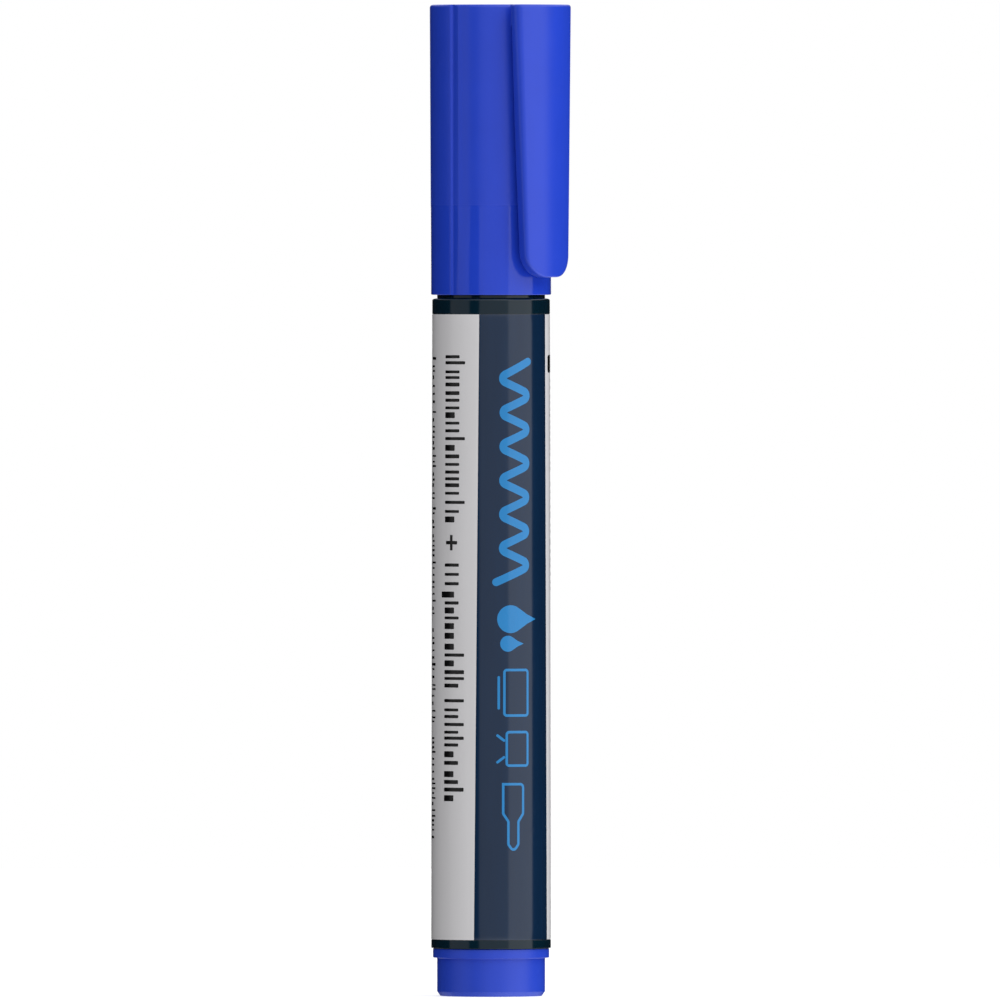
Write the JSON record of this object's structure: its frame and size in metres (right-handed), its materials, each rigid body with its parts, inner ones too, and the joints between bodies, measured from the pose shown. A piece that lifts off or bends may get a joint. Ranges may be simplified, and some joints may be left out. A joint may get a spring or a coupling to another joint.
{
  "type": "whiteboard marker",
  "caption": "Capped whiteboard marker with a bullet nib, a fibre reservoir, a wrap label, a rear plug, and a pull-off cap with a broad pocket clip.",
  "frame": {"origin": "centre of the end plug's flat bottom, which the marker stands on", "axes": "+Z along the marker's axis, from the end plug to the cap's top; +X from the axis towards the cap's clip"},
  "size_m": [0.0202, 0.0172, 0.1388],
  "materials": {
    "barrel_navy": "smooth moulded polypropylene, satin gloss",
    "label_film": "printed plastic film, semi-gloss",
    "plug_blue": "smooth moulded polypropylene, satin gloss",
    "nib_fibre": "bonded fibre, soaked with ink",
    "reservoir_fibre": "bundled fibre, soaked with ink",
    "reservoir_wrap": "thin clear film",
    "seal_plastic": "soft natural plastic",
    "cap_blue": "smooth moulded polypropylene, satin gloss"
  },
  "bodies": {
    "body": {"barrel": "barrel_navy", "barrel_label": "label_film", "end_plug": "plug_blue", "nib": "nib_fibre", "reservoir_core": "reservoir_fibre", "reservoir_film": "reservoir_wrap"},
    "seal": {"cap_liner": "seal_plastic"},
    "cap": {"cap_shell": "cap_blue"}
  },
  "joints": [
    {"name": "cap_pull", "type": "slide", "parent": "body", "child": "seal", "axis": [0, 0, 1], "range_m": [0, 0.06]},
    {"name": "cap_turn", "type": "hinge", "parent": "seal", "child": "cap", "pos_m": [0, 0, 0.12], "axis": [0, 0, 1], "continuous": true}
  ]
}
